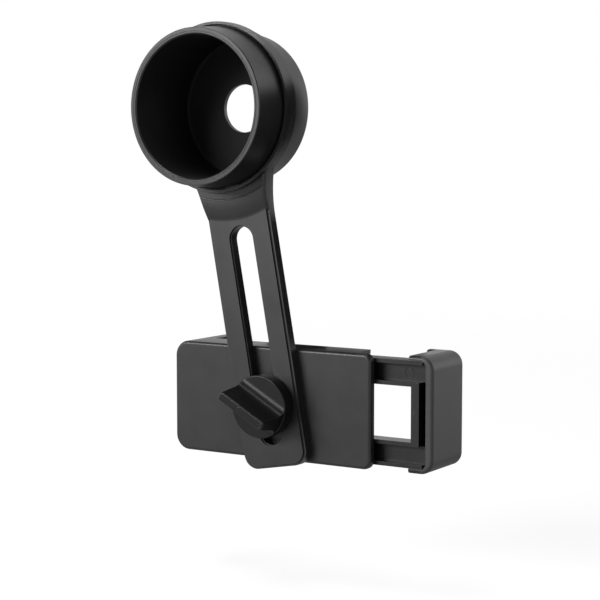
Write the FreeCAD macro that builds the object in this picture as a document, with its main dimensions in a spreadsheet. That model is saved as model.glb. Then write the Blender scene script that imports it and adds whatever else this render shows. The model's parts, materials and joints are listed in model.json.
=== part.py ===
import FreeCAD, Part
import math
import os
from types import SimpleNamespace

import Sketcher

# Digiscoping adapter: an eyepiece cup on a slotted arm, and a spring clamp that a thumb knob
# locks anywhere along the slot. Millimetres. The eyepiece axis is Y, with the cup's mouth at
# Y = 0 and the clamp's back at +Y. X is to the right and Z is up. All depths are measured
# along Y from the mouth.

SIZES = {
    # Eyepiece cup
    "cup_bore": 43.0,
    "cup_wall": 2.1,
    "cup_depth": 27.0,
    "cup_floor": 1.5,
    "cup_tail_wall": 1.6,
    "cup_shoulder_rise": 1.3,
    "cup_shoulder_width": 0.9,
    "lens_hole": 14.9,
    "rim_chamfer": 0.4,
    "cup_edge_round": 0.9,
    # Arm with its ring
    "ring_depth": 11.2,
    "ring_wall": 1.75,
    "ring_lip_gap": 0.2,
    "ring_lip_wall": 0.8,
    "ring_lip_width": 2.4,
    "ring_seat_depth": 1.7,
    "arm_set_back": 3.2,
    "arm_thickness": 3.6,
    "arm_width": 22.6,
    "arm_reach": 111.2,
    "arm_corner": 4.6,
    "arm_tilt": 10.3,
    "ledge_width": 0.8,
    "ledge_step": 0.6,
    "slot_width": 7.9,
    "slot_ledge": 0.4,
    "slot_start": 1.9,
    "slot_stop": 6.9,
    "lug_width": 2.3,
    "lug_rise": 1.5,
    "neck_fall": 6.7,
    "neck_width": 28.4,
    "neck_start": 19.0,
    "neck_flare": 45.0,
    "neck_round": 0.8,
    # Bolt, bush, washer, nut and knob
    "bolt_inset": 19.3,
    "bolt_diameter": 5.0,
    "bolt_end_gap": 1.0,
    "bolt_head_across": 8.0,
    "bolt_head_height": 2.6,
    "bolt_head_cover": 0.4,
    "bush_diameter": 7.6,
    "bush_end_gap": 0.2,
    "washer_diameter": 14.0,
    "washer_thickness": 0.8,
    "nut_across": 8.0,
    "nut_height": 4.0,
    "knob_diameter": 19.3,
    "knob_disc": 3.9,
    "rim_round": 0.4,
    "wing_height": 9.6,
    "wing_length": 17.5,
    "wing_thickness": 2.7,
    "wing_round": 0.5,
    "wing_root": 4.6,
    "foot_rise": 2.6,
    "foot_spread": 3.0,
    "foot_radius": 3.0,
    "knob_angle": 29.0,
    "fit_gap": 0.05,
    "slide_gap": 0.1,
    # Clamp housing
    "clamp_depth": 11.9,
    "housing_left": 37.0,
    "housing_right": 34.3,
    "housing_height": 34.8,
    "housing_corner": 4.8,
    "plate_corner": 2.6,
    "front_wall": 2.4,
    "side_wall": 1.2,
    "wall_stop": 6.0,
    "edge_round": 1.0,
    "boss_diameter": 13.0,
    "screw_diameter": 2.0,
    "screw_length": 6.5,
    "screw_head": 3.8,
    "screw_post": 4.8,
    "screw_across": 21.0,
    "screw_clearance": 1.1,
    "peg_diameter": 2.0,
    "housing_peg": 31.5,
    "cover_thickness": 2.0,
    "back_pad": 1.2,
    "pad_inset": 1.2,
    # Jaws
    "grip_width": 71.6,
    "fixed_grip": 27.4,
    "jaw_overlap": 10.7,
    "jaw_back_wall": 2.0,
    "jaw_wall": 1.8,
    "jaw_lip": 2.0,
    "jaw_pad": 1.5,
    "pad_ridge": 0.5,
    "jaw_reach": 9.5,
    "jaw_stand": 0.05,
    "jaw_corner": 4.2,
    "jaw_side_wall": 1.4,
    "jaw_outer_wall": 2.3,
    "jaw_front_gap": 0.2,
    # Sliding frame
    "frame_gap": 0.15,
    "frame_inset": 0.4,
    "frame_thickness": 5.5,
    "rail_left": 8.4,
    "rail_rib": 1.2,
    "channel_front": 2.4,
    "channel_back": 1.5,
    "window_share": 0.517,
    "window_stop": 2.1,
    "window_bar": 2.6,
    "frame_stop": 3.7,
    "frame_peg": 26.0,
    "floor_step": 0.3,
    "floor_step_width": 6.9,
    "floor_mark": 3.0,
    "floor_mark_depth": 0.15,
    # Springs
    "spring_diameter": 2.6,
    "spring_wire": 0.35,
}

doc = FreeCAD.newDocument("digiscoping_adapter")
sheet = doc.addObject("Spreadsheet::Sheet", "sizes")
for row, (alias, number) in enumerate(SIZES.items(), start=1):
    sheet.set(f"A{row}", alias)
    sheet.set(f"B{row}", str(number))
    sheet.setAlias(f"B{row}", alias)
doc.recompute()


class Size:
    """A length that carries its value and the sheet formula behind it."""

    def __init__(self, value, formula):
        self.value = value
        self.formula = formula

    def __add__(self, other):
        other = as_size(other)
        return Size(self.value + other.value, f"({self.formula} + {other.formula})")

    def __sub__(self, other):
        other = as_size(other)
        return Size(self.value - other.value, f"({self.formula} - {other.formula})")

    def __mul__(self, other):
        other = as_size(other)
        return Size(self.value * other.value, f"({self.formula} * {other.formula})")

    def __truediv__(self, other):
        other = as_size(other)
        return Size(self.value / other.value, f"({self.formula} / {other.formula})")

    def __neg__(self):
        return Size(-self.value, f"(-1 * {self.formula})")


def as_size(number):
    """A plain number as a Size, so that both can be added."""
    return number if isinstance(number, Size) else Size(float(number), str(number))


s = SimpleNamespace(**{name: Size(float(sheet.get(name)), f"sizes.{name}") for name in SIZES})

# Radii of the cup, the ring that it seats in and the neck below the ring
bore_radius = s.cup_bore / 2
barrel_radius = bore_radius + s.cup_wall
tail_radius = bore_radius + s.cup_tail_wall
shoulder_radius = barrel_radius + s.cup_shoulder_rise
ring_bore = tail_radius + s.fit_gap
ring_radius = ring_bore + s.ring_wall
lip_bore = shoulder_radius + s.ring_lip_gap
lip_radius = lip_bore + s.ring_lip_wall
lug_radius = lip_radius + s.lug_width
neck_end = lug_radius + s.neck_fall

# Depths and half sizes that several pieces share
arm_face = s.ring_depth + s.arm_set_back
arm_back = arm_face + s.arm_thickness
housing_front = arm_back + s.slide_gap
housing_inner = housing_front + s.front_wall
grip_plane = housing_front + s.clamp_depth
cover_back = grip_plane - s.back_pad
cover_front = cover_back - s.cover_thickness
jaw_back = grip_plane + s.jaw_overlap
jaw_hollow_end = jaw_back - s.jaw_back_wall
washer_front = arm_face - s.washer_thickness
disc_front = washer_front - s.knob_disc
half_height = s.housing_height / 2
wall_end = s.housing_right - s.wall_stop
jaw_front = housing_inner + s.jaw_front_gap
frame_front = jaw_front + s.frame_inset
frame_back = frame_front + s.frame_thickness
floor_front = frame_front + s.channel_front
sliding_face = s.grip_width - s.fixed_grip
jaw_left = sliding_face + s.jaw_pad
jaw_right = sliding_face + s.jaw_reach
half_jaw = half_height + s.jaw_stand
half_frame = half_height - s.side_wall - s.frame_gap
half_window = half_frame * s.window_share
channel_inner = half_window + s.rail_rib
channel_outer = half_frame - s.rail_rib
channel_middle = (channel_inner + channel_outer) / 2
screw_rise = half_window - s.screw_post / 2 - s.screw_clearance
boss_end = cover_front - s.slide_gap
slot_end = s.arm_reach - s.slot_stop
bolt_reach = s.arm_reach - s.bolt_inset
head_front = disc_front + s.bolt_head_cover

tilt = math.radians(s.arm_tilt.value)
arm_placement = FreeCAD.Placement(
    FreeCAD.Vector(), FreeCAD.Rotation(FreeCAD.Vector(0, 1, 0), -s.arm_tilt.value))
bolt_point = FreeCAD.Vector(
    bolt_reach.value * math.sin(tilt), 0, -bolt_reach.value * math.cos(tilt))
clamp_placement = FreeCAD.Placement(bolt_point, FreeCAD.Rotation())
bush_placement = FreeCAD.Placement(bolt_point, arm_placement.Rotation)
knob_placement = FreeCAD.Placement(
    bolt_point, FreeCAD.Rotation(FreeCAD.Vector(0, 1, 0), s.knob_angle.value))

parts = []


def add_body(label, placement):
    """An empty body with its name and place."""
    body = doc.addObject("PartDesign::Body", label)
    body.Label = label
    body.Placement = placement
    parts.append(body)
    return body


def add_sketch(body, name, role, offset=None):
    """A sketch on one of the body's origin planes, moved out along that plane's normal."""
    sketch = body.newObject("Sketcher::SketchObject", name)
    plane = next(f for f in body.Origin.OriginFeatures if f.Role == role)
    sketch.AttachmentSupport = (plane, [""])
    sketch.MapMode = "FlatFace"
    if offset is not None:
        sketch.setExpression("AttachmentOffset.Base.z", offset.formula)
    return sketch


def front_sketch(body, name, depth):
    """A sketch across the eyepiece axis at the given depth."""
    return add_sketch(body, name, "XZ_Plane", -as_size(depth))


def bind(sketch, constraint, size):
    """Adds a constraint and ties its value to the sheet."""
    index = sketch.addConstraint(constraint)
    sketch.setExpression(f"Constraints[{index}]", size.formula)


def pin(sketch, geometry, end, point):
    """Places one end of a piece of geometry at a point given by two sizes."""
    across, up = (as_size(value) for value in point[:2])
    for size, kind, axis in ((across, "DistanceX", -2), (up, "DistanceY", -1)):
        if size.formula == "0":
            sketch.addConstraint(Sketcher.Constraint("PointOnObject", geometry, end, axis))
        else:
            bind(sketch, Sketcher.Constraint(kind, -1, 1, geometry, end, size.value), size)


def plain(point):
    """The point as a vector in the sketch."""
    return FreeCAD.Vector(as_size(point[0]).value, as_size(point[1]).value, 0)


def outline(sketch, steps):
    """A closed outline. Each step is a point, and the side that leaves it is straight, or an
    arc where the step has a radius: above zero it turns left, below zero it turns right."""
    count = len(steps)
    starts = []
    ends = []
    for number, step in enumerate(steps):
        begin = plain(step)
        finish = plain(steps[(number + 1) % count])
        if len(step) == 2:
            geometry = sketch.addGeometry(Part.LineSegment(begin, finish))
            starts.append((geometry, 1))
            ends.append((geometry, 2))
            continue
        radius = abs(as_size(step[2]).value)
        left = as_size(step[2]).value > 0
        chord = finish - begin
        side = FreeCAD.Vector(-chord.y, chord.x, 0).normalize()
        rise = math.sqrt(max(radius ** 2 - (chord.Length / 2) ** 2, 0))
        centre = (begin + finish) * 0.5 + side * (rise if left else -rise)
        first, last = (begin, finish) if left else (finish, begin)
        angles = [math.atan2(p.y - centre.y, p.x - centre.x) for p in (first, last)]
        circle = Part.Circle(centre, FreeCAD.Vector(0, 0, 1), radius)
        geometry = sketch.addGeometry(Part.ArcOfCircle(circle, angles[0], angles[1]))
        starts.append((geometry, 1 if left else 2))
        ends.append((geometry, 2 if left else 1))
        size = as_size(step[2]) if left else -as_size(step[2])
        bind(sketch, Sketcher.Constraint("Radius", geometry, radius), size)
    for number in range(count):
        geometry, end = ends[number]
        follower, begin = starts[(number + 1) % count]
        sketch.addConstraint(Sketcher.Constraint("Coincident", geometry, end, follower, begin))
        pin(sketch, starts[number][0], starts[number][1], steps[number])


def circle(sketch, point, radius):
    """A full circle about a point."""
    shape = Part.Circle(plain(point), FreeCAD.Vector(0, 0, 1), radius.value)
    geometry = sketch.addGeometry(shape)
    bind(sketch, Sketcher.Constraint("Radius", geometry, radius.value), radius)
    pin(sketch, geometry, 3, point)


def rounded(left, right, low, high, left_round=None, right_round=None):
    """The steps of a rectangle, with its left and its right corners rounded if asked."""
    steps = []
    if left_round is None:
        steps += [(left, low)]
    else:
        steps += [(left, low + left_round, left_round), (left + left_round, low)]
    if right_round is None:
        steps += [(right, low), (right, high)]
    else:
        steps += [(right - right_round, low, right_round), (right, low + right_round)]
        steps += [(right, high - right_round, right_round), (right - right_round, high)]
    if left_round is None:
        steps += [(left, high)]
    else:
        steps += [(left + left_round, high, left_round), (left, high - left_round)]
    return steps


def channel(left, right, half, inner_left, inner_half, corner, inner_corner):
    """The steps of a U that is open to the right, with rounded left corners."""
    return [
        (right, -half), (right, -inner_half), (inner_left + inner_corner, -inner_half, -inner_corner),
        (inner_left, inner_corner - inner_half), (inner_left, inner_half - inner_corner, -inner_corner),
        (inner_left + inner_corner, inner_half), (right, inner_half), (right, half),
        (left + corner, half, corner), (left, half - corner), (left, corner - half, corner),
        (left + corner, -half),
    ]


def mirrored(steps):
    """The same steps with left and right exchanged, in the order that keeps them turning left."""
    points = [(-as_size(step[0]), step[1]) for step in steps]
    radii = [step[2] if len(step) == 3 else None for step in steps]
    turned = []
    for number in range(len(steps) - 1, -1, -1):
        radius = radii[number - 1]
        turned.append(points[number] if radius is None else (*points[number], radius))
    return turned


def pad(body, sketch, name, length, midplane=False):
    """Adds the sketch's area, towards the back or to both sides."""
    feature = body.newObject("PartDesign::Pad", name)
    feature.Profile = sketch
    feature.setExpression("Length", as_size(length).formula)
    feature.Reversed = not midplane
    feature.Midplane = midplane
    sketch.Visibility = False
    return feature


def pocket(body, sketch, name, length, forward=False):
    """Cuts the sketch's area towards the back, or towards the mouth with forward."""
    feature = body.newObject("PartDesign::Pocket", name)
    feature.Profile = sketch
    feature.setExpression("Length", as_size(length).formula)
    feature.Reversed = forward
    sketch.Visibility = False
    return feature


def revolve(body, sketch, name):
    """Turns the sketch's area about the depth axis."""
    feature = body.newObject("PartDesign::Revolution", name)
    feature.Profile = sketch
    feature.ReferenceAxis = (sketch, ["V_Axis"])
    feature.Angle = 360
    sketch.Visibility = False
    return feature


def soften(body, name, radius, wanted):
    """Rounds the edges of the body's last feature that the test picks."""
    doc.recompute()
    base = body.Tip
    names = [f"Edge{i}" for i, edge in enumerate(base.Shape.Edges, start=1) if wanted(edge.BoundBox)]
    feature = body.newObject("PartDesign::Fillet", name)
    feature.Base = (base, names)
    feature.setExpression("Radius", as_size(radius).formula)
    return feature


def lies_at(low, high, value, slack=0.01):
    """True where an edge's extent along an axis is one single value."""
    return abs(low - value) < slack and abs(high - value) < slack


def make_cup():
    """The moulded cup: a straight barrel with a shoulder that seats in the arm's ring, and a
    flat floor with the hole that the camera looks through."""
    body = add_body("eyepiece_cup", arm_placement)
    seat = s.ring_depth + s.ring_seat_depth
    shoulder = seat - s.cup_shoulder_width
    end = s.cup_depth + s.cup_floor
    sketch = add_sketch(body, "cup_profile", "XY_Plane")
    outline(sketch, [
        (bore_radius + s.rim_chamfer, 0), (barrel_radius - s.rim_chamfer / 2, 0),
        (barrel_radius, s.rim_chamfer / 2), (barrel_radius, shoulder), (shoulder_radius, shoulder),
        (shoulder_radius, seat), (tail_radius, seat),
        (tail_radius, end - s.cup_edge_round, s.cup_edge_round), (tail_radius - s.cup_edge_round, end),
        (s.lens_hole / 2, end), (s.lens_hole / 2, s.cup_depth),
        (bore_radius - s.cup_edge_round, s.cup_depth, -s.cup_edge_round),
        (bore_radius, s.cup_depth - s.cup_edge_round), (bore_radius, s.rim_chamfer),
    ])
    revolve(body, sketch, "cup_turned")


def make_arm():
    """The moulded arm: a ring round the cup, a flared neck and a slotted bar whose raised
    face leaves a narrow ledge along every edge."""
    body = add_body("arm", arm_placement)
    seat = s.ring_depth + s.ring_seat_depth
    lip_back = s.ring_depth + s.ring_lip_width
    neck_face = arm_face - s.lug_rise
    neck_half = s.neck_width / 2
    half = s.arm_width / 2
    bottom = -s.arm_reach
    ledge_face = arm_face + s.ledge_step

    # The neck is turned with the ring, so that its face swells and falls to the bar's face
    # round the cup, and is then cut to its flared sides.
    swell = s.neck_fall * s.neck_fall / (s.lug_rise * 2) + s.lug_rise / 2
    sketch = add_sketch(body, "neck_profile", "XY_Plane")
    outline(sketch, [
        (ring_bore, neck_face), (lug_radius, neck_face, swell), (neck_end, arm_face),
        (neck_end, arm_back), (ring_bore, arm_back),
    ])
    revolve(body, sketch, "neck_turned")
    sketch = front_sketch(body, "neck_sides", s.ring_depth)
    circle(sketch, (0, 0), neck_end * 2)
    below = -neck_end - s.ledge_width
    outline(sketch, [
        (-half, below), (half, below), (half, -neck_end, -s.neck_flare),
        (neck_half, -s.neck_start), (-neck_half, -s.neck_start, -s.neck_flare),
        (-half, -neck_end),
    ])
    pocket(body, sketch, "neck_trim", arm_back - s.ring_depth)
    soften(body, "neck_edges", s.neck_round,
           lambda box: box.YMax < arm_face.value + 0.1 and box.ZLength > s.neck_round.value
           and abs(box.Center.x) > s.arm_width.value / 4)

    sketch = add_sketch(body, "ring_profile", "XY_Plane")
    outline(sketch, [
        (ring_bore, seat), (lip_bore, seat), (lip_bore, s.ring_depth), (lip_radius, s.ring_depth),
        (lip_radius, lip_back), (ring_radius, lip_back), (ring_radius, arm_back), (ring_bore, arm_back),
    ])
    revolve(body, sketch, "ring_turned")

    sketch = front_sketch(body, "bar_outline", ledge_face)
    outline(sketch, [
        (-half, bottom + s.arm_corner, s.arm_corner), (s.arm_corner - half, bottom),
        (half - s.arm_corner, bottom, s.arm_corner), (half, bottom + s.arm_corner),
        (half, -neck_end, -s.neck_flare), (neck_half, -s.neck_start),
        (-neck_half, -s.neck_start, -s.neck_flare), (-half, -neck_end),
    ])
    pad(body, sketch, "bar", arm_back - ledge_face)
    inner = half - s.ledge_width
    inner_corner = s.arm_corner - s.ledge_width
    floor = bottom + s.ledge_width
    sketch = front_sketch(body, "face_outline", arm_face)
    outline(sketch, [
        (-inner, floor + inner_corner, inner_corner), (inner_corner - inner, floor),
        (inner - inner_corner, floor, inner_corner), (inner, floor + inner_corner),
        (inner, -lug_radius), (-inner, -lug_radius),
    ])
    pad(body, sketch, "raised_face", s.ledge_step)

    sketch = front_sketch(body, "cup_seat_outline", s.ring_depth)
    circle(sketch, (0, 0), ring_bore)
    pocket(body, sketch, "cup_seat", arm_back - s.ring_depth)
    sketch = front_sketch(body, "lip_seat_outline", s.ring_depth)
    circle(sketch, (0, 0), lip_bore)
    pocket(body, sketch, "lip_seat", s.ring_seat_depth)

    for name, extra, length in (
            ("slot_rim", s.slot_ledge, s.ledge_step), ("slot", as_size(0), s.arm_thickness)):
        end_round = s.slot_width / 2 + extra
        top = -neck_end - s.slot_start - s.slot_width / 2
        low = s.slot_width / 2 - slot_end
        sketch = front_sketch(body, name + "_outline", arm_face)
        outline(sketch, [
            (-end_round, low, end_round), (0, low - end_round, end_round), (end_round, low),
            (end_round, top, end_round), (0, top + end_round, end_round), (-end_round, top),
        ])
        pocket(body, sketch, name, length)


def make_bush():
    """The guide bush that rides in the arm's slot round the bolt."""
    body = add_body("slot_bush", bush_placement)
    sketch = front_sketch(body, "bush_outline", arm_face + s.bush_end_gap)
    circle(sketch, (0, 0), s.bush_diameter / 2)
    circle(sketch, (0, 0), s.bolt_diameter / 2 + s.fit_gap)
    pad(body, sketch, "bush", s.arm_thickness - s.bush_end_gap)


def make_washer():
    """The flat washer between the knob and the arm."""
    body = add_body("knob_washer", knob_placement)
    sketch = front_sketch(body, "washer_outline", washer_front)
    circle(sketch, (0, 0), s.washer_diameter / 2)
    circle(sketch, (0, 0), s.bolt_diameter / 2 + s.fit_gap)
    pad(body, sketch, "washer", s.washer_thickness - s.fit_gap)


def hexagon(across, grow=None):
    """The steps of a hexagon with its flats left and right."""
    flat = across / 2 if grow is None else across / 2 + grow
    tip = flat * (2 / math.sqrt(3))
    return [
        (-flat, -(tip / 2)), (0, -tip), (flat, -(tip / 2)), (flat, tip / 2), (0, tip), (-flat, tip / 2),
    ]


def make_bolt():
    """The steel bolt with the thin hexagon head that the knob is moulded round."""
    body = add_body("knob_bolt", knob_placement)
    sketch = front_sketch(body, "head_outline", head_front)
    outline(sketch, hexagon(s.bolt_head_across))
    pad(body, sketch, "head", s.bolt_head_height)
    sketch = front_sketch(body, "shank_outline", head_front)
    circle(sketch, (0, 0), s.bolt_diameter / 2)
    pad(body, sketch, "shank", boss_end - s.bolt_end_gap - head_front)


def make_knob():
    """The thumb knob: a disc with a wing across it, which stands on two hollow-cut feet."""
    body = add_body("knob", knob_placement)
    half_wing = s.wing_thickness / 2
    half_root = s.wing_root / 2
    radius = s.knob_diameter / 2
    wing_front = disc_front - s.wing_height
    foot = disc_front - s.foot_rise
    toe = half_root + s.foot_spread
    sketch = add_sketch(body, "knob_section", "YZ_Plane")
    outline(sketch, [
        (wing_front, half_wing), (wing_front, -half_wing), (foot, -half_root, -s.foot_radius),
        (disc_front, -toe), (disc_front, -radius), (washer_front, -radius),
        (washer_front, radius), (disc_front, radius), (disc_front, toe, -s.foot_radius),
        (foot, half_root),
    ])
    pad(body, sketch, "knob_form", s.knob_diameter, midplane=True)

    sketch = front_sketch(body, "disc_outline", wing_front)
    circle(sketch, (0, 0), s.knob_diameter)
    circle(sketch, (0, 0), radius)
    pocket(body, sketch, "disc_trim", washer_front - wing_front)
    half_length = s.wing_length / 2
    sketch = front_sketch(body, "wing_ends", wing_front)
    outline(sketch, rounded(half_length, s.knob_diameter, -toe, toe))
    outline(sketch, rounded(-s.knob_diameter, -half_length, -toe, toe))
    pocket(body, sketch, "wing_trim", s.wing_height)

    # The hollow that the bolt's head and shank fill.
    sketch = front_sketch(body, "head_hollow_outline", head_front - s.fit_gap)
    outline(sketch, hexagon(s.bolt_head_across, s.fit_gap))
    pocket(body, sketch, "head_hollow", s.bolt_head_height + s.fit_gap * 2)
    sketch = front_sketch(body, "shank_hollow_outline", head_front)
    circle(sketch, (0, 0), s.bolt_diameter / 2 + s.fit_gap)
    pocket(body, sketch, "shank_hollow", washer_front - head_front)
    soften(body, "wing_edges", s.wing_round,
           lambda box: lies_at(box.YMin, box.YMax, wing_front.value))
    soften(body, "rim_edge", s.rim_round,
           lambda box: lies_at(box.YMin, box.YMax, disc_front.value)
           and box.XLength > s.foot_spread.value * 2)


def make_nut():
    """The captive nut in the housing's boss."""
    body = add_body("captive_nut", clamp_placement)
    nut_front = boss_end - s.slide_gap * 2 - s.nut_height
    sketch = front_sketch(body, "nut_outline", nut_front)
    outline(sketch, hexagon(s.nut_across))
    circle(sketch, (0, 0), s.bolt_diameter / 2 + s.fit_gap)
    pad(body, sketch, "nut", s.nut_height)


def screw_points():
    """Where the four cover screws stand about the bolt."""
    return [(s.screw_across * x, screw_rise * z) for x in (-1, 1) for z in (-1, 1)]


def make_housing():
    """The clamp's moulded front shell, with the fixed jaw at its left end. Its front plate
    runs on past the top and bottom walls, so that the sliding jaw can close under it."""
    body = add_body("clamp_housing", clamp_placement)
    left = -s.housing_left
    corner = s.housing_corner
    jaw_inner = -(s.fixed_grip + s.jaw_pad)

    sketch = front_sketch(body, "plate_outline", housing_front)
    outline(sketch, rounded(left, s.housing_right, -half_height, half_height, corner, s.plate_corner))
    pad(body, sketch, "front_plate", s.front_wall)
    sketch = front_sketch(body, "wall_outline", housing_inner)
    outline(sketch, channel(left, wall_end, half_height, left + s.side_wall, half_height - s.side_wall,
                            corner, corner - s.side_wall))
    pad(body, sketch, "walls", cover_back - housing_inner)

    sketch = front_sketch(body, "jaw_wall_outline", cover_back)
    outline(sketch, rounded(left, jaw_inner, -half_height, half_height, corner))
    inner_half = half_height - s.jaw_wall
    outline(sketch, rounded(left + s.jaw_wall, jaw_inner - s.jaw_wall, -inner_half, inner_half,
                            corner - s.jaw_wall))
    pad(body, sketch, "fixed_jaw", jaw_hollow_end - cover_back)
    sketch = front_sketch(body, "jaw_back_outline", jaw_hollow_end)
    outline(sketch, rounded(left, s.jaw_lip - s.fixed_grip, -half_height, half_height, corner, s.edge_round))
    pad(body, sketch, "fixed_jaw_back", s.jaw_back_wall)

    sketch = front_sketch(body, "boss_outline", housing_inner)
    circle(sketch, (0, 0), s.boss_diameter / 2)
    pad(body, sketch, "nut_boss", boss_end - housing_inner)
    sketch = front_sketch(body, "post_outline", housing_inner)
    for point in screw_points():
        circle(sketch, point, s.screw_post / 2)
    pad(body, sketch, "screw_posts", cover_front - housing_inner)
    sketch = front_sketch(body, "peg_outline", housing_inner)
    for side in (-1, 1):
        circle(sketch, (-s.housing_peg, channel_middle * side), s.peg_diameter / 2)
    pad(body, sketch, "spring_pegs", floor_front - housing_inner)

    sketch = front_sketch(body, "bolt_hole_outline", housing_front)
    circle(sketch, (0, 0), s.bolt_diameter / 2 + s.slide_gap)
    pocket(body, sketch, "bolt_hole", boss_end - housing_front)
    sketch = front_sketch(body, "nut_pocket_outline", boss_end)
    outline(sketch, hexagon(s.nut_across, s.fit_gap))
    pocket(body, sketch, "nut_pocket", s.nut_height + s.slide_gap * 2, forward=True)
    sketch = front_sketch(body, "screw_hole_outline", cover_front)
    for point in screw_points():
        circle(sketch, point, s.screw_diameter / 2 + s.fit_gap)
    pocket(body, sketch, "screw_holes", s.screw_length - s.cover_thickness + s.slide_gap * 2, forward=True)
    soften(body, "front_round", s.edge_round,
           lambda box: lies_at(box.YMin, box.YMax, housing_front.value)
           and (box.XLength > s.screw_across.value or box.ZLength > s.boss_diameter.value
                or abs(box.XMin) > s.screw_across.value))
    soften(body, "jaw_round", s.edge_round,
           lambda box: lies_at(box.YMin, box.YMax, jaw_back.value))


def make_cover():
    """The back cover that closes the housing behind the sliding frame."""
    body = add_body("back_cover", clamp_placement)
    left = s.slide_gap - s.fixed_grip - s.jaw_pad
    half = half_height - s.side_wall - s.slide_gap
    sketch = front_sketch(body, "cover_outline", cover_front)
    outline(sketch, rounded(left, wall_end, -half, half))
    for point in screw_points():
        circle(sketch, point, s.screw_diameter / 2 + s.slide_gap)
    pad(body, sketch, "cover_plate", s.cover_thickness)
    profile = s.screw_head / 2 + s.slide_gap
    for number, point in enumerate(screw_points(), start=1):
        sketch = front_sketch(body, f"head_seat_outline_{number}", cover_back)
        circle(sketch, point, profile)
        pocket(body, sketch, f"head_seat_{number}", s.cover_thickness / 2, forward=True)


def make_screw(number, across, up):
    """One of the flat-headed screws that hold the cover."""
    body = add_body(f"cover_screw_{number}", clamp_placement)
    seat = cover_back - s.cover_thickness / 2
    sketch = front_sketch(body, "head_outline", seat)
    circle(sketch, (across, up), s.screw_head / 2)
    pad(body, sketch, "head", s.cover_thickness / 2)
    sketch = front_sketch(body, "shank_outline", cover_back - s.screw_length)
    circle(sketch, (across, up), s.screw_diameter / 2)
    pad(body, sketch, "shank", s.screw_length)


def make_back_pad():
    """The rubber sheet glued on the cover, which the held device lies against."""
    body = add_body("back_pad", clamp_placement)
    left = s.slide_gap - s.fixed_grip + s.pad_inset
    half = half_height - s.side_wall - s.pad_inset
    sketch = front_sketch(body, "pad_outline", cover_back)
    outline(sketch, rounded(left, wall_end - s.pad_inset, -half, half, s.plate_corner, s.plate_corner))
    pad(body, sketch, "pad", s.back_pad)


def make_jaw_pad(label, face, inward):
    """A ridged rubber pad on a jaw. Its ridges run up and down."""
    body = add_body(label, clamp_placement)
    sketch = add_sketch(body, "pad_section", "XY_Plane", s.pad_inset * 2 - half_jaw)
    near = grip_plane + s.slide_gap * 2
    far = jaw_hollow_end - s.slide_gap * 2
    ridges = 5
    step = (far - near) / (2 * ridges - 1)
    back = face - s.jaw_pad * inward
    low = face - s.pad_ridge * inward
    steps = [(back, far), (back, near)]
    for number in range(ridges):
        begin = near + step * (2 * number)
        steps += [(face, begin), (face, begin + step)]
        if number < ridges - 1:
            steps += [(low, begin + step), (low, begin + step * 2)]
    outline(sketch, steps)
    feature = pad(body, sketch, "pad", half_jaw * 2 - s.pad_inset * 4)
    feature.Reversed = False


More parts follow.
